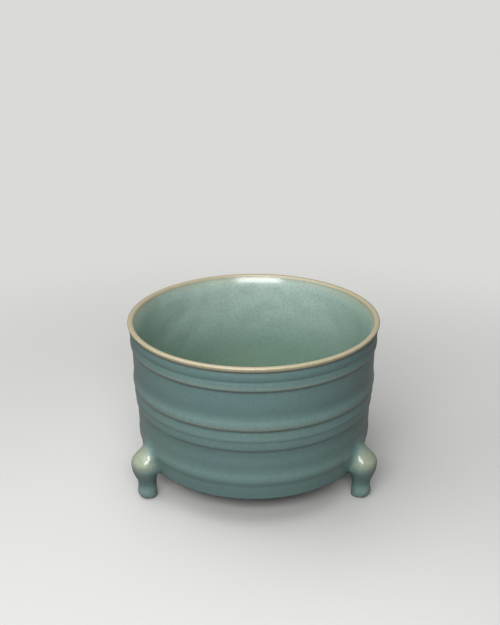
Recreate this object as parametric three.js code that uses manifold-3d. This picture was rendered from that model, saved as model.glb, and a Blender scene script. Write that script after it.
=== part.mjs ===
// A tripod vessel in celadon-glazed stoneware: a thrown round wall with raised bow-string ribs,
// a floor luted inside its foot, and three moulded legs luted to its outside.
// Millimetres, +Z up. The feet stand on z = 0.

import * as THREE from 'three';
import { mergeVertices } from 'three/addons/utils/BufferGeometryUtils.js';
import Module from 'manifold-3d';

const wasm = await Module();
wasm.setup();

// Driving dimensions
const HEIGHT = 123;            // crown of the lip above the table
const MOUTH_RADIUS = 90;       // widest circle of the lip
const LIP_WIDTH = 3.8;         // the lip is a low rounded bead
const LIP_CROWN = 1;           // crown of the lip above its widest circle
const BODY_BOTTOM = 22.4;      // underside of the wall above the table
const FOOT_RING_RADIUS = 82.7; // outside of the flat ring under the wall
const INNER_LIP_RADIUS = MOUTH_RADIUS - LIP_WIDTH;
const INNER_FOOT_RADIUS = 80;
const FLOOR_THICKNESS = 6;
const FLOOR_RECESS = 1.2;      // the floor's underside lies a little above the wall's
const CAVETTO_RADIUS = 9;      // the round between floor and wall inside
const FLOOR_RIM = 0.6;         // width of the floor's upstand at its top edge
const JOINT_GAP = 0.3;         // the slip layer between luted pieces
const LEG_COUNT = 3;
const WELD = 1e-4;             // points closer than this are one point

// Facets: round the vessel, round a leg, along a curved run of the wall, over the lip and inside
const AROUND = 72;
const LEG_AROUND = 24;
const RUN_STEPS = 2;
const LIP_STEPS = 8;
const INSIDE_STEPS = 5;

// Stations up the outside of the wall. Swell is how far the middle of the run up to a station
// stands out from a straight line.
const OUTSIDE = [
  { radius: FOOT_RING_RADIUS, height: BODY_BOTTOM, swell: 0 },
  { radius: 83.9, height: 23.6, swell: 0.3 },
  // Foot band, and the soft lowest rib over it
  { radius: 84.85, height: 33.6, swell: -0.1 },
  { radius: 85.35, height: 35.6, swell: 0.1 },
  { radius: 85.7, height: 37.4, swell: 0.1 },
  { radius: 85.65, height: 41.6, swell: 0.1 },
  // Lower panel
  { radius: 85.55, height: 47, swell: -0.1 },
  { radius: 85.7, height: 55, swell: 0 },
  { radius: 85.85, height: 60.8, swell: -0.1 },
  // Middle group of three ribs, with a crisp edge below and one above
  { radius: 86.5, height: 61.7, swell: 0.1 },
  { radius: 86.9, height: 64.6, swell: 0.1 },
  { radius: 86.9, height: 67.6, swell: 0.05 },
  { radius: 87.4, height: 70, swell: 0.1 },
  { radius: 86.9, height: 75.6, swell: 0.2 },
  { radius: 87.5, height: 76.5, swell: 0.1 },
  { radius: 88.1, height: 78.6, swell: 0.1 },
  { radius: 87.85, height: 82.4, swell: 0.12 },
  // Upper panel
  { radius: 87.3, height: 88.3, swell: -0.1 },
  { radius: 87.45, height: 97, swell: 0 },
  { radius: 87.55, height: 104.7, swell: 0 },
  // Upper pair of ribs under the lip
  { radius: 88.4, height: 105.6, swell: 0.1 },
  { radius: 88.8, height: 108, swell: 0.1 },
  { radius: 88.2, height: 112.3, swell: 0.25 },
  { radius: 88.7, height: 114.2, swell: 0.1 },
  { radius: 88.1, height: 118.9, swell: 0.35 },
  { radius: 89, height: 119.6, swell: -0.1 },
  { radius: MOUTH_RADIUS, height: HEIGHT - LIP_CROWN, swell: 0.25 },
];

// Stations down the inside of the wall: it opens more and more towards the lip
const INSIDE = [
  { radius: 85.5, height: 120.9, swell: -0.1 },
  { radius: 83.1, height: 115, swell: 0 },
  { radius: 82.3, height: 107, swell: -0.1 },
  { radius: 81.3, height: 84, swell: -0.2 },
  { radius: INNER_FOOT_RADIUS, height: 41, swell: -0.1 },
  { radius: INNER_FOOT_RADIUS, height: BODY_BOTTOM, swell: 0 },
];

// Level sections of a leg from the foot up: height, distance of the centre from the vessel's axis, and
// half of the oval's size outwards and sideways. The foot is flat below and rounded at its outer edge,
// the shin is slim, the knee bulges, and the thigh narrows and leans in until it ends in the wall.
const LEG_SECTIONS = [
  { height: 0, centre: 86.4, out: 4.7, side: 4.7 },
  { height: 0.6, centre: 87, out: 5.3, side: 5.3 },
  { height: 1.6, centre: 87.9, out: 6.2, side: 6.2 },
  { height: 3, centre: 88.5, out: 6.6, side: 6.6 },
  { height: 6, centre: 88.8, out: 6.8, side: 6.8 },
  { height: 9, centre: 88.6, out: 6.6, side: 6.6 },
  { height: 12, centre: 88.6, out: 6.5, side: 6.6 },
  { height: 15, centre: 88.8, out: 6.9, side: 7.1 },
  { height: 18, centre: 89.2, out: 7.8, side: 8.3 },
  { height: 21, centre: 89.6, out: 8.5, side: 9.6 },
  { height: 24, centre: 90, out: 8.8, side: 10.6 },
  { height: 27, centre: 90.3, out: 8.7, side: 10.8 },
  { height: 30, centre: 90.2, out: 8.3, side: 10 },
  { height: 33, centre: 89.2, out: 7.3, side: 7.9 },
  { height: 36, centre: 87.3, out: 6.1, side: 5.7 },
  { height: 39, centre: 84.5, out: 5.5, side: 4.5 },
  { height: 43, centre: 80.3, out: 5.3, side: 3.8 },
  { height: 47, centre: 76.5, out: 5.3, side: 3.4 },
];

const bodyGlaze = { color: 0x86a39b, roughness: 0.32, metalness: 0 };
const floorGlaze = { color: 0x7f9d92, roughness: 0.34, metalness: 0 };
const legGlaze = { color: 0x93aa9c, roughness: 0.28, metalness: 0 };

function runTo(path, from, to) {
  // One run of the profile, straight or a shallow arc
  if (to.swell === 0) {
    path.lineTo(to.radius, to.height);
    return;
  }
  const middle = (from.radius + to.radius) / 2 + 2 * to.swell;
  path.quadraticCurveTo(middle, (from.height + to.height) / 2, to.radius, to.height);
}

function profile(stations, steps, start = stations[0]) {
  // Points along a list of stations, from the start station
  const path = new THREE.Path();
  path.moveTo(start.radius, start.height);
  let from = start;
  for (const to of stations) {
    if (to !== start) {
      runTo(path, from, to);
    }
    from = to;
  }
  return path.getPoints(steps);
}

function lathe(points) {
  // A closed profile turned round the vessel's axis
  const closed = [...points, points[0].clone()];
  const geometry = new THREE.LatheGeometry(closed, AROUND);
  geometry.rotateX(Math.PI / 2);
  return geometry;
}

function wall() {
  // The outside, the lip's crown, the inside and the flat ring underneath
  const crown = new THREE.EllipseCurve(
    MOUTH_RADIUS - LIP_WIDTH / 2, HEIGHT - LIP_CROWN, LIP_WIDTH / 2, LIP_CROWN, 0, Math.PI,
  );
  const innerEdge = { radius: INNER_LIP_RADIUS, height: HEIGHT - LIP_CROWN, swell: 0 };
  return lathe([
    ...profile(OUTSIDE, RUN_STEPS),
    ...crown.getPoints(LIP_STEPS).slice(1),
    ...profile(INSIDE, INSIDE_STEPS, innerEdge).slice(1),
  ]);
}

function floor() {
  // A dish that fits inside the foot of the wall, with a round up to the wall
  const radius = INNER_FOOT_RADIUS - JOINT_GAP;
  const under = BODY_BOTTOM + FLOOR_RECESS;
  const top = under + FLOOR_THICKNESS;
  const rimTop = top + CAVETTO_RADIUS;
  const cavettoCentre = radius - FLOOR_RIM - CAVETTO_RADIUS;
  const path = new THREE.Path();
  path.moveTo(0, under);
  path.lineTo(radius, under);
  path.lineTo(radius, rimTop);
  path.lineTo(radius - FLOOR_RIM, rimTop);
  path.absarc(cavettoCentre, rimTop, CAVETTO_RADIUS, 0, -Math.PI / 2, true);
  path.lineTo(0, top);
  return lathe(path.getPoints(INSIDE_STEPS));
}

function loftedLeg() {
  // Ovals joined from the foot up, closed by a flat foot and a small flat top
  const positions = [];
  const indices = [];
  for (const section of LEG_SECTIONS) {
    for (let i = 0; i < LEG_AROUND; i++) {
      const angle = (2 * Math.PI * i) / LEG_AROUND;
      const x = section.side * Math.sin(angle);
      const y = section.centre + section.out * Math.cos(angle);
      positions.push(x, y, section.height);
    }
  }
  const last = LEG_SECTIONS.length - 1;
  for (let row = 0; row < last; row++) {
    for (let i = 0; i < LEG_AROUND; i++) {
      const next = (i + 1) % LEG_AROUND;
      const a = row * LEG_AROUND + i;
      const b = row * LEG_AROUND + next;
      const c = b + LEG_AROUND;
      const d = a + LEG_AROUND;
      indices.push(a, c, b, a, d, c);
    }
  }
  const footCentre = positions.length / 3;
  const topCentre = footCentre + 1;
  positions.push(0, LEG_SECTIONS[0].centre, LEG_SECTIONS[0].height);
  positions.push(0, LEG_SECTIONS[last].centre, LEG_SECTIONS[last].height);
  for (let i = 0; i < LEG_AROUND; i++) {
    const next = (i + 1) % LEG_AROUND;
    indices.push(footCentre, i, next);
    indices.push(topCentre, last * LEG_AROUND + next, last * LEG_AROUND + i);
  }
  const geometry = new THREE.BufferGeometry();
  geometry.setAttribute('position', new THREE.Float32BufferAttribute(positions, 3));
  geometry.setIndex(indices);
  return geometry;
}

function toSolid(geometry) {
  const bare = geometry.clone();
  bare.deleteAttribute('normal');
  bare.deleteAttribute('uv');
  const merged = mergeVertices(bare, WELD);
  return new wasm.Manifold(new wasm.Mesh({
    numProp: 3,
    vertProperties: new Float32Array(merged.attributes.position.array),
    triVerts: new Uint32Array(merged.index.array),
  }));
}

function toGeometry(solid) {
  const mesh = solid.getMesh();
  const geometry = new THREE.BufferGeometry();
  geometry.setAttribute('position', new THREE.BufferAttribute(new Float32Array(mesh.vertProperties), 3));
  geometry.setIndex(new THREE.BufferAttribute(new Uint32Array(mesh.triVerts), 1));
  geometry.computeVertexNormals();
  return geometry;
}

function bodyBlank() {
  // The outside of the wall as one filled solid, larger by the joint gap, to cut the legs with
  const outside = profile(OUTSIDE, RUN_STEPS).map((p) => new THREE.Vector2(p.x + JOINT_GAP, p.y));
  outside.unshift(new THREE.Vector2(outside[0].x, BODY_BOTTOM - JOINT_GAP));
  const top = outside[outside.length - 1].y;
  const points = [new THREE.Vector2(0, BODY_BOTTOM - JOINT_GAP), ...outside, new THREE.Vector2(0, top)];
  return toSolid(lathe(points));
}

function legGeometry() {
  return toGeometry(toSolid(loftedLeg()).subtract(bodyBlank()));
}

function mesh(name, geometry, finish) {
  const made = new THREE.Mesh(geometry, new THREE.MeshStandardMaterial(finish));
  made.name = name;
  return made;
}

const vessel = new THREE.Group();
vessel.add(mesh('vessel_wall', wall(), bodyGlaze));
vessel.add(mesh('floor_disc', floor(), floorGlaze));

// The back leg is on +Y, and the others follow at equal angles
const legNames = ['leg_back', 'leg_front_left', 'leg_front_right'];
for (let i = 0; i < LEG_COUNT; i++) {
  const leg = mesh(legNames[i], legGeometry(), legGlaze);
  leg.rotation.z = (2 * Math.PI * i) / LEG_COUNT;
  vessel.add(leg);
}

// The origin is under the middle of the part's box, on the plane that the feet stand on
const box = new THREE.Box3().setFromObject(vessel, true);
vessel.position.set(-(box.min.x + box.max.x) / 2, -(box.min.y + box.max.y) / 2, -box.min.z);

export default vessel;
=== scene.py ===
"""A celadon-glazed tripod vessel with bow-string ribs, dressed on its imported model."""

import math

import bpy
import numpy as np
from mathutils import Matrix, Vector


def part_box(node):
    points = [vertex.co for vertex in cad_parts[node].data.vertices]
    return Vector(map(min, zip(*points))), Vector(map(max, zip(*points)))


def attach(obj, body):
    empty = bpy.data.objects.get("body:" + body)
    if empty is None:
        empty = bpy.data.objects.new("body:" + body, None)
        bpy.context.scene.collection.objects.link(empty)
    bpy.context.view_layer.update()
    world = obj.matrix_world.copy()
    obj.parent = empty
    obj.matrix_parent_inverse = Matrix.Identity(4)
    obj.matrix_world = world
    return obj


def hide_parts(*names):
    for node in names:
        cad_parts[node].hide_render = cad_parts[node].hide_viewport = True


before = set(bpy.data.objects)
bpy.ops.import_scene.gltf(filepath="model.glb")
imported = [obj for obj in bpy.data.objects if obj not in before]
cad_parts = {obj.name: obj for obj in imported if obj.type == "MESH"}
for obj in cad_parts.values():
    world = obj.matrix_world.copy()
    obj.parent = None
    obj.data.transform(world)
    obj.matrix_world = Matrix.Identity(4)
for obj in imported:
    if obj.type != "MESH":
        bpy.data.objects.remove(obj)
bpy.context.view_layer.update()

MM = 0.001

# The vessel's axis, in millimetres like every size below
wall_low, wall_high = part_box("vessel_wall")
AXIS_X = (wall_low.x + wall_high.x) / 2 / MM
AXIS_Y = (wall_low.y + wall_high.y) / 2 / MM

# The wall: heights above the table and radii from the axis
HEIGHT = 123
MOUTH_RADIUS = 90
LIP_WIDTH = 3.8
LIP_CROWN = 1
BODY_BOTTOM = 22.4
INNER_FOOT_RADIUS = 80
OUTER_FOOT_RADIUS = 82.7
FLOOR_RECESS = 1.2
FLOOR_THICKNESS = 6
CAVETTO_RADIUS = 10
LIP_EDGE = HEIGHT - LIP_CROWN
LIP_CENTRE = MOUTH_RADIUS - LIP_WIDTH / 2

# Heights of the crisp edges, where the glaze is thin, and of the grooves, where it is thick
LIP_CREASE = 119.6
UPPER_EDGE = 105.6
MIDDLE_EDGE = 76.5
LOWER_EDGE = 61.6
FOOT_EDGE = 35
UPPER_GROOVE = 112.3
MIDDLE_GROOVE = 67.6

# Stations up the outside: radius, height, and how far the run up to it swells beyond a straight line
OUTSIDE = [
    (OUTER_FOOT_RADIUS, BODY_BOTTOM, 0),
    (83.9, 23.6, 0.3),
    (84.85, 33.6, -0.1),
    (85.35, 35.6, 0.1),
    (85.7, 37.4, 0.1),
    (85.65, 41.6, 0.1),
    (85.55, 47, -0.1),
    (85.7, 55, 0),
    (85.85, 60.8, -0.1),
    (86.5, 61.7, 0.1),
    (86.9, 64.6, 0.1),
    (86.9, MIDDLE_GROOVE, 0.05),
    (87.4, 70, 0.1),
    (86.9, 75.6, 0.2),
    (87.5, MIDDLE_EDGE, 0.1),
    (88.1, 78.6, 0.1),
    (87.85, 82.4, 0.12),
    (87.3, 88.3, -0.1),
    (87.45, 97, 0),
    (87.55, 104.7, 0),
    (88.4, 105.6, 0.1),
    (88.8, 108, 0.1),
    (88.2, UPPER_GROOVE, 0.25),
    (88.7, 114.2, 0.1),
    (88.1, 118.9, 0.35),
    (89, LIP_CREASE, -0.1),
    (MOUTH_RADIUS, LIP_EDGE, 0.25),
]

# Stations down the inside, from the inner edge of the lip
INSIDE = [
    (LIP_CENTRE - LIP_WIDTH / 2, LIP_EDGE, 0),
    (85.5, 120.9, -0.1),
    (82.6, 112, -0.39),
    (81.55, 100, -0.18),
    (81.3, 84, 0),
    (INNER_FOOT_RADIUS, 41, 0),
    (INNER_FOOT_RADIUS, BODY_BOTTOM, 0),
]

# Level sections of a leg: height, distance of the centre from the vessel's axis, and half of the oval's
# size outwards and sideways
LEG_SECTIONS = [
    (0, 86.4, 4.7, 4.7),
    (0.6, 87, 5.3, 5.3),
    (1.6, 87.9, 6.2, 6.2),
    (3, 88.5, 6.6, 6.6),
    (6, 88.8, 6.8, 6.8),
    (9, 88.6, 6.6, 6.6),
    (12, 88.6, 6.5, 6.6),
    (15, 88.8, 6.9, 7.1),
    (18, 89.2, 7.8, 8.3),
    (21, 89.6, 8.5, 9.6),
    (24, 90, 8.8, 10.6),
    (27, 90.3, 8.7, 10.8),
    (30, 90.2, 8.3, 10.3),
    (33, 89.2, 7.2, 9.1),
    (36, 87.2, 6.1, 7.5),
    (39, 84.5, 5.5, 6.1),
    (43, 80.3, 5.3, 4.6),
    (47, 76.5, 5.3, 3.4),
    (51, 73, 5.3, 3.2),
]
# The fillet between leg and wall at the shin and at the thigh, which begins and ends at these heights
LEG_FILLET = 4.2
THIGH_FILLET = 6
THIGH_LOW = 24
THIGH_HIGH = 36
# How a leg's skin meets the wall: it starts and ends this deep inside it, and runs on hidden just under
# its surface, out to this far beside the leg
SKIN_START = 0.9
SKIN_DEEPEST = 1.2
SKIN_HIDDEN = 0.02
LEG_REACH = 8
# Points across a leg's front, down one of its sides, along the skirt beside it and on the way back
FRONT_POINTS = 57
SIDE_POINTS = 10
SKIRT_POINTS = 20
BACK_POINTS = 10
# How many points are tried on each ray for the place where it comes out
RAY_POINTS = 161
# The knee's outermost point, from the vessel's axis
KNEE_REACH = 99
# Where the legs stand round the vessel, in degrees from the front towards the right
LEG_ANGLES = {"back": 180, "front_left": -60, "front_right": 60}


def smoothstep(low, high, x):
    """0 below low, 1 above high, and an S-curve between them."""
    t = np.clip((x - low) / (high - low), 0, 1)
    return t * t * (3 - 2 * t)


def bell(x, centre, width):
    """A bump of height 1 at the centre that fades within about twice its width."""
    return np.exp(-(((x - centre) / width) ** 2))


def ripple(angle, seed):
    """A slow wave round the vessel between -1 and 1: five sines with fixed, unrelated phases."""
    waves = [np.sin(n * angle + 1.7 * n * n + seed * (n + 0.4)) / n for n in range(1, 6)]
    return sum(waves) / 1.6


def run_points(stations, steps):
    """Points along a list of stations. Each run is a parabola whose middle is moved out by the swell."""
    s = np.array(stations, float)
    a, b = s[:-1, None, :2], s[1:, None, :2]
    control = (a + b) / 2
    control[:, :, 0] += 2 * s[1:, None, 2]
    t = (np.arange(steps) / steps)[None, :, None]
    points = (1 - t) ** 2 * a + 2 * t * (1 - t) * control + t * t * b
    return np.vstack([points.reshape(-1, 2), s[-1, :2]])


def soften(values, step, width):
    """A table of evenly spaced values blurred by a bell curve, as thick glaze rounds an edge."""
    reach = int(3 * width / step)
    kernel = bell(np.arange(-reach, reach + 1) * step, 0, width)
    start = 2 * values[0] - values[reach:0:-1]
    end = 2 * values[-1] - values[-2 : -reach - 2 : -1]
    return np.convolve(np.concatenate([start, values, end]), kernel / kernel.sum(), "valid")


# The outside's radius in small steps up the wall, with its edges rounded by the thick glaze
TABLE_STEP = 0.05
GLAZE_ROUNDING = 0.45
# Beside a leg, for this many degrees, the lowest rib is rounded more: the potter's finger smoothed it away
FINGER_ROUNDING = 2.5
FINGER_WIDTH = 12
table_height = np.arange(BODY_BOTTOM, LIP_EDGE + TABLE_STEP / 2, TABLE_STEP)
outside_run = run_points(OUTSIDE, 12)
table_radius = soften(
    np.interp(table_height, outside_run[:, 1], outside_run[:, 0]), TABLE_STEP, GLAZE_ROUNDING
)
finger_radius = soften(table_radius, TABLE_STEP, FINGER_ROUNDING)


def beside_leg(height, angle):
    """1 low on the wall at a leg, and 0 away from the legs and higher up."""
    near = 0
    for leg in LEG_ANGLES.values():
        away = (angle - math.radians(leg) + math.pi) % (2 * math.pi) - math.pi
        near = near + bell(away, 0, math.radians(FINGER_WIDTH))
    return near * (1 - smoothstep(45, 55, height))


def sway(height, angle):
    """How far a hand-thrown wall lies inside its true circle: under 0.2 mm, and nothing at the lip."""
    free = smoothstep(0, 12, LIP_EDGE - height)
    return -0.1 * free * (1 + 0.6 * ripple(angle, 0.3) + 0.4 * np.sin(height / 9 + ripple(angle, 2.1)))


def outside_radius(height, angle):
    """Radius of the glazed outside at a height and an angle round the vessel."""
    crisp = np.interp(height, table_height, table_radius)
    smoothed = np.interp(height, table_height, finger_radius)
    return crisp + (smoothed - crisp) * beside_leg(height, angle) + sway(height, angle)


def shell(name, rows, poles=None, masks=None):
    """One closed mesh from rows of points round a shape. Each row joins the next.

    The last row joins the first one, or where there are poles, the end rows close on them.
    """
    count, around = rows.shape[:2]
    index = np.arange(count * around).reshape(count, around)
    beside = np.roll(index, -1, 1)
    points = rows.reshape(-1, 3)
    if poles is None:
        above, above_beside = np.roll(index, -1, 0), np.roll(beside, -1, 0)
        faces = np.stack([index, beside, above_beside, above], -1).reshape(-1, 4).tolist()
    else:
        faces = np.stack([index[:-1], beside[:-1], beside[1:], index[1:]], -1).reshape(-1, 4).tolist()
        first, last = np.full(around, count * around), np.full(around, count * around + 1)
        faces += np.stack([first, beside[0], index[0]], -1).tolist()
        faces += np.stack([last, index[-1], beside[-1]], -1).tolist()
        points = np.vstack([points, poles])
    mesh = bpy.data.meshes.new(name)
    mesh.from_pydata((points * MM).tolist(), [], faces)
    mesh.polygons.foreach_set("use_smooth", [True] * len(mesh.polygons))
    for mask, values in (masks or {}).items():
        full = np.zeros(len(points), np.float32)
        full[: count * around] = np.broadcast_to(values, (count, around)).ravel()
        mesh.attributes.new(mask, "FLOAT", "POINT").data.foreach_set("value", full)
    made = bpy.data.objects.new(name, mesh)
    bpy.context.scene.collection.objects.link(made)
    return made


def turned(radius, height, angle):
    """Points at a radius and height round the vessel's axis. Angle 0 faces the camera."""
    x = AXIS_X + radius * np.sin(angle)
    y = AXIS_Y - radius * np.cos(angle)
    return np.stack(np.broadcast_arrays(x, y, height), -1)


# Bands round the outside of the wall: height, width and strength. The pooled bands hold glaze pooled in the
# grooves, and painted shade under the edges, under the lip and in soft waves on the wide panels.
BROWN_BANDS = [
    (UPPER_EDGE, 0.6, 0.8),
    (MIDDLE_EDGE, 0.55, 0.8),
    (LIP_CREASE - 0.45, 0.5, 0.7),
    (LOWER_EDGE, 0.6, 0.35),
    (FOOT_EDGE, 1, 0.06),
    (BODY_BOTTOM + 0.7, 0.7, 0.3),
]
THIN_BANDS = [
    (UPPER_EDGE + 2, 1.2, 0.25),
    (MIDDLE_EDGE + 2, 1.5, 0.25),
]
# Darker bands: pooled glaze in the grooves, and painted shade under the edges, under the lip crease, on the
# panels and low on the wall near the foot
POOL_AND_SHADE_BANDS = [
    (UPPER_GROOVE, 0.8, 0.6),
    (MIDDLE_GROOVE, 1.2, 0.15),
    (LIP_CREASE - 1.1, 0.8, 0.5),
    (UPPER_EDGE - 1.3, 1, 0.4),
    (MIDDLE_EDGE - 1.4, 0.8, 0.4),
    (LOWER_EDGE - 1.4, 1, 0.4),
    (FOOT_EDGE - 1.2, 1.4, 0.2),
    (89, 5, 0.3),
    (57.5, 3, 0.45),
    (49, 3, 0.25),
    (26, 4, 0.35),
]
# Painted light: a lighter colour on the upward-facing flares of the ribs, where the lamps above catch them
PAINTED_LIGHT_BANDS = [
    (82, 3, 0.4),
    (107.6, 2, 0.3),
    (70.5, 2, 0.25),
    (40, 3, 0.25),
]
# Inside, the glaze turns from deep to pale between these heights. This is partly thin glaze near the lip and
# glaze that ran down, and partly painted light on the upper inside and painted shade lower down. It is deeper
# at the left and right than at the front and back by these shares, which is painted shade.
DEEP_LOW = 30
PALE_LOW = 42
PALE_HIGH = 106
PALE_LOST = 0.3
DEEP_GAINED = 0.5


def banded(height, bands):
    """The strength at a height of a list of bands that fade into each other."""
    return sum(strength * bell(height, centre, width) for centre, width, strength in bands)


def wall_masks(height, angle, is_outside, is_inside, is_lip):
    """Where the wall's glaze is bare cream, brown at an edge, thin, or pooled in a groove. Painted light
    brightens the flares of the ribs, and painted shade darkens the wall under the edges and on the panels.

    Inside, the glaze is pale and thin towards the lip, and ran down to a deep green below. The paleness at
    the top is partly painted light, and the deep green below and at the left and right is partly painted
    shade.
    """
    uneven = 0.8 + 0.2 * ripple(angle, 4.2)
    below = LIP_EDGE - height
    away = 1 - beside_leg(height, angle)
    # The cream reaches down inside the lip by an uneven few tenths, and ends in a brown line
    inner_reach = 0.6 + 0.3 * ripple(angle, 1.3)
    thin_reach = 4 + 4 * ripple(angle, 5.6) ** 2
    cream = is_lip + is_outside * smoothstep(LIP_CREASE, LIP_CREASE + 0.5, height)
    cream = cream + is_inside * (1 - smoothstep(0.1, inner_reach, below))
    brown = is_outside * banded(height, BROWN_BANDS) * uneven * away
    brown = brown + is_inside * 0.45 * uneven * bell(below, inner_reach, 0.6)
    thin = is_inside * 0.6 * (1 - smoothstep(0.8, thin_reach, below))
    thin = thin + is_outside * banded(height, THIN_BANDS)
    # Painted shade: the inside is darker at its left and right than at its front and back
    painted_side_shade = np.sin(angle) ** 4
    # Inside, the pale layer is partly thin glaze near the lip and partly painted light on the upper inside.
    # The deep layer is partly glaze that ran down and partly painted shade low in the mouth.
    return {
        "pale": is_inside * smoothstep(PALE_LOW, PALE_HIGH, height) * (1 - PALE_LOST * painted_side_shade),
        "deep": is_inside * (1 - smoothstep(DEEP_LOW, PALE_HIGH, height) * (1 - DEEP_GAINED * painted_side_shade)),
        "painted_light": is_outside * away * banded(height, PAINTED_LIGHT_BANDS),
        "pool_and_shade": is_outside * away * banded(height, POOL_AND_SHADE_BANDS),
        "thin": thin,
        "brown": brown,
        "cream": np.clip(cream, 0, 1),
    }


WALL_AROUND = 320
WALL_ROWS = 225
LIP_ROWS = 12


def glazed_wall():
    """The wall: its section goes up the outside, over the lip, down the inside and across the foot ring."""
    angle = np.linspace(0, 2 * math.pi, WALL_AROUND, endpoint=False)[None, :]
    up = np.linspace(BODY_BOTTOM, LIP_EDGE, WALL_ROWS)[:, None]
    turn = np.linspace(0, math.pi, LIP_ROWS + 2)[1:-1, None]
    lip_radius = LIP_CENTRE + LIP_WIDTH / 2 * np.cos(turn)
    down = run_points(INSIDE, 8)
    inner_radius, inner_height = down[:, :1], down[:, 1:]
    under = np.linspace(INNER_FOOT_RADIUS, OUTER_FOOT_RADIUS, 4)[1:-1, None]
    outside = turned(outside_radius(up, angle), up, angle)
    lip = turned(lip_radius + 0 * angle, LIP_EDGE + LIP_CROWN * np.sin(turn), angle)
    inside = turned(inner_radius + sway(inner_height, angle), inner_height, angle)
    foot_ring = turned(under + 0 * angle, BODY_BOTTOM, angle)
    parts = [outside, lip, inside, foot_ring]
    part = np.repeat(np.arange(4), [len(rows) for rows in parts])[:, None]
    rows = np.vstack(parts)
    is_outside, is_lip, is_inside = [(part == number) * 1.0 for number in range(3)]
    masks = wall_masks(rows[:, :1, 2], angle, is_outside, is_inside, is_lip)
    return shell("glazed_wall", rows, masks=masks)


FLOOR_AROUND = 192
UNDER_ROWS = 60
CAVETTO_ROWS = 24
FLOOR_ROWS = 49
# The innermost ring of points round a pole
POLE_RING = 2
# How far the floor sagged in the middle, and the radius that its throwing rings lie round
SLUMP = 0.25
SLUMP_RADIUS = 40


def glazed_floor():
    """The floor: underside, hidden edge, the round up to the wall and the inner face, between two poles."""
    angle = np.linspace(0, 2 * math.pi, FLOOR_AROUND, endpoint=False)[None, :]
    under = BODY_BOTTOM + FLOOR_RECESS
    top = under + FLOOR_THICKNESS
    edge = INNER_FOOT_RADIUS + 0.1
    centre = edge - CAVETTO_RADIUS
    turn = np.linspace(0, math.pi / 2, CAVETTO_ROWS)
    radius = np.concatenate([
        np.linspace(POLE_RING, INNER_FOOT_RADIUS - 0.3, UNDER_ROWS),
        [edge, edge],
        centre + CAVETTO_RADIUS * np.cos(turn),
        np.linspace(centre, POLE_RING, FLOOR_ROWS + 1)[1:],
    ])
    height = np.concatenate([
        np.full(UNDER_ROWS, under),
        [under + 1, top],
        top + CAVETTO_RADIUS * (1 - np.sin(turn)),
        np.full(FLOOR_ROWS, top),
    ])
    radius, height = radius[:, None], height[:, None]
    inner = (np.arange(len(height)) > UNDER_ROWS + 1)[:, None] * 1.0
    rings = bell(radius, SLUMP_RADIUS, 9) * np.sin(radius / 3)
    slump = SLUMP * inner * (rings - 1 + radius / edge)
    rows = turned(radius + 0 * angle, height + slump, angle)
    masks = {"deep": inner * smoothstep(20, 60, radius) + 0 * angle}
    poles = turned(np.zeros(2), np.array([under, rows[-1, 0, 2]]), np.zeros(2))
    return shell("glazed_floor", rows, poles, masks)


def spline(x, table_x, table_y):
    """A smooth curve through a table's points: each span is a cubic whose slopes come from its neighbours."""
    slope = np.gradient(table_y, table_x)
    i = np.clip(np.searchsorted(table_x, x) - 1, 0, len(table_x) - 2)
    span = table_x[i + 1] - table_x[i]
    t = (x - table_x[i]) / span
    ends = (2 * t**3 - 3 * t**2 + 1) * table_y[i] + (3 * t**2 - 2 * t**3) * table_y[i + 1]
    return ends + (t**3 - 2 * t**2 + t) * span * slope[i] + (t**3 - t**2) * span * slope[i + 1]


def body_distance(out, side, height, turn):
    """Distance from the filled wall: beside it, under it, or round its lower corner. Negative inside."""
    radius = np.hypot(out, side)
    angle = np.arctan2(side, out) + turn
    beside = radius - outside_radius(np.maximum(height, BODY_BOTTOM), angle)
    recess = FLOOR_RECESS * smoothstep(0, 0.4, INNER_FOOT_RADIUS - radius)
    below = BODY_BOTTOM + recess - height
    corner = np.hypot(np.maximum(beside, 0), np.maximum(below, 0))
    return np.where((beside > 0) & (below > 0), corner, np.maximum(beside, below))


def first_exit(out, side, height, leg, turn):
    """Where each row of points first comes outside the smooth union of leg and wall, as a share of the row.

    The union adds material where the two distances differ by less than the fillet, by the square of the
    rest of it. The exit lies between two points, in proportion to their distances.
    """
    centre, deep, wide, blend = leg
    oval = np.hypot(out - centre, side * deep / wide) - deep
    body = body_distance(out, side, height, turn) + SKIN_HIDDEN
    near = np.maximum(blend - np.abs(oval - body), 0) / blend
    joined = np.minimum(oval, body) - near * near * blend / 4
    outside = joined >= 0
    outside[..., -1] = True
    at = np.argmax(outside, -1)
    here = np.take_along_axis(joined, at[..., None], -1)[..., 0]
    last = np.take_along_axis(joined, np.maximum(at - 1, 0)[..., None], -1)[..., 0]
    back = np.where((here > 0) & (last < 0), here / np.maximum(here - last, 1e-6), 0)
    return (at - back) / (out.shape[-1] - 1)


def leg_heights():
    """The heights of a leg's rows. They lie closest at the foot, where the wall begins and at the knee."""
    return np.concatenate([
        [0, 0],
        np.linspace(0, 3, 14),
        np.linspace(3.3, 19, 34),
        np.linspace(19.3, 21.8, 9),
        BODY_BOTTOM - np.array([0.45, 0.3, 0.18, 0.08, 0.02]),
        np.linspace(BODY_BOTTOM + 0.1, 25, 8),
        np.linspace(25.4, 51, 66),
    ])


def leg_bearings():
    """The directions of a ring's points from the leg's centre: its front, right, back and left."""
    front = np.linspace(-90, 90, FRONT_POINTS)
    beside = np.linspace(90, 150, SIDE_POINTS + SKIRT_POINTS + 1)[1:]
    back = np.linspace(150, 210, BACK_POINTS + 2)[1:-1]
    return np.radians(np.concatenate([front, beside, back, -beside[::-1]]))


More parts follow.
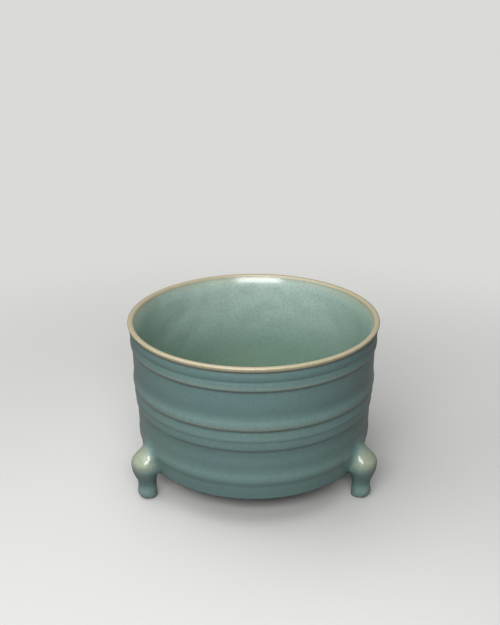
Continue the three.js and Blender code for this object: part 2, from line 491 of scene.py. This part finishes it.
def leg_sections(height):
    """The centre, depth, half width and fillet of a leg at each height, shaped to go with rows of rays."""
    table = np.array(LEG_SECTIONS, float)
    centre, deep, wide = [spline(height, table[:, 0], table[:, column]) for column in (1, 2, 3)]
    blend = LEG_FILLET + (THIGH_FILLET - LEG_FILLET) * smoothstep(THIGH_LOW, THIGH_HIGH, height)
    return [values[:, None, None] for values in (centre, deep, wide, blend)]


def leg_rings(height, leg, around, turn):
    """The rings under the wall: rays from the leg's centre that end on the smooth union of leg and wall."""
    centre, deep, wide = leg[:3]
    across, outwards = np.sin(around)[None, :, None], np.cos(around)[None, :, None]
    reach = 1 + LEG_REACH / deep
    ray = reach * np.linspace(0, 1, RAY_POINTS)
    out, side = centre + ray * deep * outwards, ray * wide * across
    share = first_exit(out, side, height[:, None, None], leg, turn)[:, :, None] * reach
    return (centre + share * deep * outwards)[:, :, 0], (share * wide * across)[:, :, 0]


def wall_surface(height, place, turn):
    """The bearing of places along the wall, and the radius of its surface there."""
    bearing = place / MOUTH_RADIUS
    return bearing, outside_radius(np.maximum(height, BODY_BOTTOM)[:, None], bearing + turn)


def bridge(a, b):
    """The points of a leg's side, spaced evenly between the columns at its two ends."""
    share = np.arange(1, SIDE_POINTS + 1) / (SIDE_POINTS + 1)
    return a[:, None] + (b - a)[:, None] * share


def leg_on_wall(height, leg, turn):
    """The rows beside the wall: the leg's front, then a skirt of points beside it on either side.

    Each point is a place along the wall and stands off it, square to its surface, as far as the smooth
    union of leg and wall does there. The way back is hidden under the surface.
    """
    centre, deep, wide = [values[:, :, 0] for values in leg[:3]]
    along = LEG_REACH * (np.arange(1, SKIRT_POINTS + 1) / SKIRT_POINTS) ** 1.5
    front = wide * np.sin(np.radians(np.linspace(-90, 90, FRONT_POINTS)))
    place = np.hstack([front, wide + along, -wide - along[::-1]])
    bearing, surface = wall_surface(height, place, turn)
    start = np.full(place.shape, -SKIN_START)
    on_front = slice(0, FRONT_POINTS)
    inside_leg = (centre * np.cos(bearing) - surface)[:, on_front]
    start[:, on_front] = np.maximum(inside_leg, -SKIN_START)
    span = deep + LEG_REACH - start
    radius = surface[:, :, None] + start[:, :, None] + span[:, :, None] * np.linspace(0, 1, RAY_POINTS)
    out, side = radius * np.cos(bearing)[:, :, None], radius * np.sin(bearing)[:, :, None]
    off = start + span * first_exit(out, side, height[:, None, None], leg, turn)
    way_back = (wide + LEG_REACH) * np.linspace(1, -1, BACK_POINTS + 2)[1:-1]
    backs = {"place": way_back, "off": np.full(way_back.shape, -SKIN_DEEPEST)}
    last, split = FRONT_POINTS - 1, FRONT_POINTS + SKIRT_POINTS
    rows = {}
    for kind, values in (("place", place), ("off", off)):
        right = bridge(values[:, last], values[:, last + 1])
        left = bridge(values[:, -1], values[:, 0])
        right_skirt, left_skirt = values[:, last + 1 : split], values[:, split:]
        rows[kind] = np.hstack([values[:, on_front], right, right_skirt, backs[kind], left_skirt, left])
    bearing, surface = wall_surface(height, rows["place"], turn)
    standing = surface + rows["off"]
    return standing * np.cos(bearing), standing * np.sin(bearing)


# Heights on a leg where its glaze is thinnest, and where it pools over the foot
KNEE = 32
ANKLE = 13


def leg_masks(height, around, angle, own):
    """A leg's colours, which fade into the wall's where own falls to 0, so that no border shows."""
    h = height[:, None]
    facing = 0.5 + 0.5 * np.cos(around)[None, :]
    knee = np.where(h < KNEE, bell(h, KNEE, 6), bell(h, KNEE, 9))
    masks = {
        "thin": knee * (0.25 + 0.75 * facing),
        "brown": 0.35 * (1 - smoothstep(0.4, 1.8, h)) * facing,
        "pool_and_shade": 0.22 * bell(h, ANKLE, 2.5),
        # Painted light: a lighter colour over the foot and on the upward-facing top of the thigh
        "painted_light": 0.6 * (1 - smoothstep(7, ANKLE, h)) + 0.4 * bell(h, KNEE + 6, 6),
    }
    of_wall = wall_masks(np.maximum(h, BODY_BOTTOM), angle, 1, 0, 0)
    return {mask: own * masks.get(mask, 0) + (1 - own) * of_wall[mask] for mask in of_wall}


def glazed_leg(name, degrees):
    """A leg luted to the wall, with glaze and slip filling the corner between them.

    Rings under the wall, and then rows beside it, join into one closed skin.
    """
    turn = math.radians(degrees)
    height, around = leg_heights(), leg_bearings()
    leg = leg_sections(height)
    is_ring = height[:, None] < BODY_BOTTOM
    ring_out, ring_side = leg_rings(height, leg, around, turn)
    wall_out, wall_side = leg_on_wall(height, leg, turn)
    out, side = np.where(is_ring, ring_out, wall_out), np.where(is_ring, ring_side, wall_side)
    # The flat of the foot is drawn in to its middle
    shrink = np.ones((len(height), 1))
    shrink[:2, 0] = 0.4, 0.8
    centre = leg[0][:, :, 0]
    out = centre + (out - centre) * shrink
    side = side * shrink
    radius, angle = np.minimum(np.hypot(out, side), KNEE_REACH), np.arctan2(side, out) + turn
    rows = turned(radius, height[:, None], angle)
    poles = turned(np.array([centre[0, 0], out[-1].mean()]), height[[0, -1]], np.full(2, turn))
    standing = radius - outside_radius(np.maximum(height, BODY_BOTTOM)[:, None], angle)
    own = np.where(is_ring, 1, smoothstep(0.3, 4, standing))
    return shell(name, rows, poles, leg_masks(height, around, angle, own))


def linear(hex_colour):
    """An sRGB hex colour as linear light."""
    c = [int(hex_colour[i : i + 2], 16) / 255 for i in (1, 3, 5)]
    return [v / 12.92 if v <= 0.04045 else ((v + 0.055) / 1.055) ** 2.4 for v in c] + [1]


def add(tree, kind, inputs=None, **settings):
    """Add a node with its settings. An input is a value, or the output socket that it is linked from."""
    made = tree.nodes.new(kind)
    for setting, value in settings.items():
        setattr(made, setting, value)
    for socket, value in (inputs or {}).items():
        if isinstance(value, bpy.types.NodeSocket):
            tree.links.new(value, made.inputs[socket])
        else:
            made.inputs[socket].default_value = value
    return made


def per_metre(size):
    """The scale that gives a pattern features of a size in millimetres."""
    return 1 / (size * MM)


# Sizes and depths of the glaze's patterns. Speckle is drawn coarser than the real 0.3 mm, so that it shows.
CLOUD_SIZE = 45
SPECKLE_SIZE = 1.5
CRAZE_SIZE = 4
CRAZE_WIDTH = 0.06
WAVE_SIZE = 15
WAVE_DEPTH = 1.6
PIT_DEPTH = 0.05
# The tone of speckle and craze lines, and the strength of the waves outside and of the pits
SPECKLE_DARK = 0.91
SPECKLE_LIGHT = 1.07
CRAZE_TONE = 0.96
WAVES_OUTSIDE = 0.2
PIT_STRENGTH = 0.5
# The satin body of the glaze, and the clear top over it
WALL_ROUGHNESS = 0.42
LEG_ROUGHNESS = 0.4
ROUGHNESS_SPREAD = 0.08
COAT_IOR = 1.5
COAT_ROUGHNESS = 0.17
# The middle of a noise, where most of its values lie
NOISE_MIDDLE = {"From Min": 0.3, "From Max": 0.7}
BLUE_GLAZE = "#68878A"
GREEN_GLAZE = "#6E8C85"
THIN_ON_WALL = "#B0B294"
THIN_ON_LEG = "#B9BFA0"
# Each mask's colour and strength, from the lowest layer to the topmost. Thin glaze has a colour for each
# material, so it has none here. The pale and deep layers are partly painted light and painted shade inside
# the mouth. The third layer is painted light, and the fourth is partly pooled glaze and partly painted shade.
GLAZE_LAYERS = [
    ("pale", "#AFC5BB", 0.95),
    ("deep", "#7A9480", 1),
    ("painted_light", "#8DABA6", 1),
    ("pool_and_shade", "#4C6662", 0.75),
    ("thin", None, 0.8),
    ("brown", "#664A35", 1),
    ("cream", "#BEB393", 1),
]


def craze_tone(tree, place):
    """Slightly darker craze lines that run steeply up the wall."""
    steep = {"Vector": place, "Rotation": (0.2, 0.3, 0), "Scale": (1, 1, 0.3)}
    stretch = add(tree, "ShaderNodeMapping", steep)
    cells = {"Vector": stretch.outputs["Vector"], "Scale": per_metre(CRAZE_SIZE)}
    craze = add(tree, "ShaderNodeTexVoronoi", cells, feature="DISTANCE_TO_EDGE")
    line = {"Value": craze.outputs["Distance"], "From Min": 0, "From Max": CRAZE_WIDTH}
    return add(tree, "ShaderNodeMapRange", {**line, "To Min": CRAZE_TONE, "To Max": 1}).outputs["Result"]


def glaze_colour(tree, place, speckle, thin_colour):
    """Clouds of blue and green under the layers of the masks, with speckle and craze lines over them all.

    Each mask is frayed by the speckle, as melted glaze has no sharp border.
    """
    clouds = add(tree, "ShaderNodeTexNoise", {"Vector": place, "Scale": per_metre(CLOUD_SIZE), "Detail": 3})
    tints = {"Factor": clouds.outputs["Fac"], "A": linear(BLUE_GLAZE), "B": linear(GREEN_GLAZE)}
    colour = add(tree, "ShaderNodeMix", tints, data_type="RGBA").outputs["Result"]
    spread = {"Value": speckle, **NOISE_MIDDLE, "To Min": SPECKLE_DARK, "To Max": SPECKLE_LIGHT}
    shade = add(tree, "ShaderNodeMapRange", spread).outputs["Result"]
    for mask, tint, strength in GLAZE_LAYERS:
        amount = add(tree, "ShaderNodeAttribute", attribute_name=mask).outputs["Fac"]
        frayed = add(tree, "ShaderNodeMath", {0: amount, 1: shade}, operation="MULTIPLY").outputs["Value"]
        part = add(tree, "ShaderNodeMath", {0: frayed, 1: strength}, operation="MULTIPLY", use_clamp=True)
        layer = {"Factor": part.outputs["Value"], "A": colour, "B": linear(tint or thin_colour)}
        colour = add(tree, "ShaderNodeMix", layer, data_type="RGBA").outputs["Result"]
    tone = add(tree, "ShaderNodeMath", {0: shade, 1: craze_tone(tree, place)}, operation="MULTIPLY")
    toned = {"Factor": 1, "A": colour, "B": tone.outputs["Value"]}
    return add(tree, "ShaderNodeMix", toned, data_type="RGBA", blend_type="MULTIPLY").outputs["Result"]


def glaze_normal(tree, place, speckle):
    """The skin: pits under a millimetre wide over slow waves, which are highest inside the mouth."""
    waves = add(tree, "ShaderNodeTexNoise", {"Vector": place, "Scale": per_metre(WAVE_SIZE), "Detail": 0})
    pale = add(tree, "ShaderNodeAttribute", attribute_name="pale")
    height = {"Value": pale.outputs["Fac"], "To Min": WAVES_OUTSIDE, "To Max": 1}
    strength = add(tree, "ShaderNodeMapRange", height).outputs["Result"]
    rolling = {"Height": waves.outputs["Fac"], "Strength": strength, "Distance": WAVE_DEPTH * MM}
    pits = {"Height": speckle, "Strength": PIT_STRENGTH, "Distance": PIT_DEPTH * MM}
    pits["Normal"] = add(tree, "ShaderNodeBump", rolling).outputs["Normal"]
    return add(tree, "ShaderNodeBump", pits).outputs["Normal"]


def glaze(name, thin_colour, roughness):
    """Celadon glaze, a thick milky glass over iron-bearing clay: a satin, blue-green, slightly pitted skin.

    It goes pale where it is thin, brown at an edge, and deeper where it pools. Its masks also carry painted
    light on the flares, feet and upper inside, and painted shade under the edges and low inside. Its clear
    top shines.
    """
    material = bpy.data.materials.new(name)
    material.use_nodes = True
    tree = material.node_tree
    shader = tree.nodes["Principled BSDF"].inputs
    place = add(tree, "ShaderNodeTexCoord").outputs["Object"]
    grain = {"Vector": place, "Scale": per_metre(SPECKLE_SIZE), "Detail": 3}
    speckle = add(tree, "ShaderNodeTexNoise", grain).outputs["Fac"]
    dull = {"Value": speckle, **NOISE_MIDDLE, "To Min": roughness, "To Max": roughness + ROUGHNESS_SPREAD}
    tree.links.new(add(tree, "ShaderNodeMapRange", dull).outputs["Result"], shader["Roughness"])
    tree.links.new(glaze_colour(tree, place, speckle, thin_colour), shader["Base Color"])
    tree.links.new(glaze_normal(tree, place, speckle), shader["Normal"])
    shader["Coat Weight"].default_value = 1
    shader["Coat IOR"].default_value = COAT_IOR
    shader["Coat Roughness"].default_value = COAT_ROUGHNESS
    return material


celadon = glaze("celadon_glaze", THIN_ON_WALL, WALL_ROUGHNESS)
leg_celadon = glaze("leg_glaze", THIN_ON_LEG, LEG_ROUGHNESS)

wall = glazed_wall()
floor = glazed_floor()
wall.data.materials.append(celadon)
floor.data.materials.append(celadon)
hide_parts("vessel_wall")
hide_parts("floor_disc")
for piece in (wall, floor):
    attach(piece, "root")
for place, degrees in LEG_ANGLES.items():
    leg = glazed_leg("glazed_leg_" + place, degrees)
    leg.data.materials.append(leg_celadon)
    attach(leg, "root")
    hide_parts("leg_" + place)
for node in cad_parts.values():
    node.data.materials.clear()
    node.data.materials.append(celadon)

# The studio: a pale floor that fades into a backdrop of the same colour. The glaze mirrors only a part
# of it, as in a dim room, so that its own colour stays deep.
BACKDROP = "#DADAD7"
LIT_PAPER = "#6A6A68"
DAYLIGHT = "#E8ECF0"
DAYLIGHT_STRENGTH = 0.08
MIRRORED = 0.15
# In metres: how far the floor reaches, and where it starts and ends to fade into the backdrop
FLOOR_REACH = 40
FADE_START = 0.16
FADE_END = 0.55
# Lamps: name, place and width and depth in metres, power in watts, and whether the glaze mirrors it
LAMPS = [
    ("overhead", (-0.28, -0.1, 0.9), 1.1, 1.1, 7, True),
    ("front_window", (-0.08, -0.68, 0.53), 0.6, 0.2, 4.6, True),
    ("rear_fill", (0.2, 0.9, 0.35), 0.9, 0.5, 2.4, False),
]
LAMP_TARGET = Vector((0, 0, 0.08))


def backdrop_share(tree):
    """How much of the backdrop a ray sees: all from the camera, a part in a reflection, none as light."""
    rays = add(tree, "ShaderNodeLightPath").outputs
    kinds = {0: rays["Is Glossy Ray"], 1: rays["Is Transmission Ray"]}
    reflected = add(tree, "ShaderNodeMath", kinds, operation="MAXIMUM").outputs["Value"]
    part = add(tree, "ShaderNodeMath", {0: reflected, 1: MIRRORED}, operation="MULTIPLY").outputs["Value"]
    seen = {0: rays["Is Camera Ray"], 1: part}
    return add(tree, "ShaderNodeMath", seen, operation="MAXIMUM").outputs["Value"]


def pale_floor():
    """Matt pale paper. It takes light and shadow near the vessel, and far off shows the backdrop's colour."""
    material = bpy.data.materials.new("pale_paper")
    material.use_nodes = True
    tree = material.node_tree
    tree.nodes.remove(tree.nodes["Principled BSDF"])
    share = backdrop_share(tree)
    place = add(tree, "ShaderNodeTexCoord").outputs["Object"]
    distance = add(tree, "ShaderNodeVectorMath", {0: place}, operation="LENGTH")
    fade = {"Value": distance.outputs["Value"], "From Min": FADE_START, "From Max": FADE_END}
    far = add(tree, "ShaderNodeMapRange", fade, interpolation_type="SMOOTHSTEP")
    papers = {"Factor": share, "A": linear(LIT_PAPER), "B": linear(BACKDROP)}
    paper = add(tree, "ShaderNodeMix", papers, data_type="RGBA")
    lit = add(tree, "ShaderNodeBsdfDiffuse", {"Color": paper.outputs["Result"]})
    plain = add(tree, "ShaderNodeEmission", {"Color": linear(BACKDROP), "Strength": share})
    shaders = {0: far.outputs["Result"], 1: lit.outputs[0], 2: plain.outputs[0]}
    both = add(tree, "ShaderNodeMixShader", shaders)
    tree.links.new(both.outputs[0], tree.nodes["Material Output"].inputs["Surface"])
    return material


floor_mesh = bpy.data.meshes.new("studio_floor")
corners = [(x * FLOOR_REACH, y * FLOOR_REACH, 0) for x, y in ((-1, -1), (1, -1), (1, 1), (-1, 1))]
floor_mesh.from_pydata(corners, [], [(0, 1, 2, 3)])
floor_mesh.materials.append(pale_floor())
studio_floor = bpy.data.objects.new("studio_floor", floor_mesh)
bpy.context.scene.collection.objects.link(studio_floor)


def studio_world():
    """Dim even light from all round. The camera, and in part a reflection, sees the backdrop instead."""
    world = bpy.data.worlds.new("studio")
    bpy.context.scene.world = world
    world.use_nodes = True
    tree = world.node_tree
    dim = tree.nodes["Background"]
    dim.inputs["Color"].default_value = linear(DAYLIGHT)
    dim.inputs["Strength"].default_value = DAYLIGHT_STRENGTH
    plain = add(tree, "ShaderNodeBackground", {"Color": linear(BACKDROP), "Strength": 1})
    shaders = {0: backdrop_share(tree), 1: dim.outputs[0], 2: plain.outputs[0]}
    both = add(tree, "ShaderNodeMixShader", shaders)
    tree.links.new(both.outputs[0], tree.nodes["World Output"].inputs["Surface"])


def softbox(name, place, width, depth, power, is_mirrored):
    """A flat rectangular lamp that faces the vessel. The glaze mirrors it, or it only lights."""
    lamp = bpy.data.lights.new(name, "AREA")
    lamp.shape = "RECTANGLE"
    lamp.size = width
    lamp.size_y = depth
    lamp.energy = power
    made = bpy.data.objects.new(name, lamp)
    made.location = place
    made.visible_glossy = is_mirrored
    made.rotation_euler = (LAMP_TARGET - Vector(place)).to_track_quat("-Z", "Y").to_euler()
    bpy.context.scene.collection.objects.link(made)


studio_world()
for lamp in LAMPS:
    softbox(*lamp)


# The camera fitted to the photograph: where it aims, how far from there it stands and how high it looks
# from, its tilt and its lens
CAMERA_AIM = (AXIS_X - 2.516, AXIS_Y, LIP_EDGE + 2.49)
CAMERA_DISTANCE = 600
CAMERA_ELEVATION = math.radians(21.819)
CAMERA_ROLL = math.radians(-0.241)
CAMERA_LENS = 48.156
CAMERA_SENSOR = 36
CAMERA_CLIP = 0.01


def photo_camera():
    """The camera at the photograph's angle."""
    back = Vector((0, -math.cos(CAMERA_ELEVATION), math.sin(CAMERA_ELEVATION)))
    level = Vector((1, 0, 0))
    upright = back.cross(level)
    right = math.cos(CAMERA_ROLL) * level + math.sin(CAMERA_ROLL) * upright
    up = back.cross(right)
    data = bpy.data.cameras.new("camera")
    data.lens = CAMERA_LENS
    data.sensor_width = CAMERA_SENSOR
    data.clip_start = CAMERA_CLIP
    camera = bpy.data.objects.new("camera", data)
    turn = Matrix((right, up, back)).transposed().to_4x4()
    place = Vector(CAMERA_AIM) * MM + back * CAMERA_DISTANCE * MM
    camera.matrix_world = Matrix.Translation(place) @ turn
    bpy.context.scene.collection.objects.link(camera)
    bpy.context.scene.camera = camera


photo_camera()
bpy.context.scene.view_settings.view_transform = "Standard"
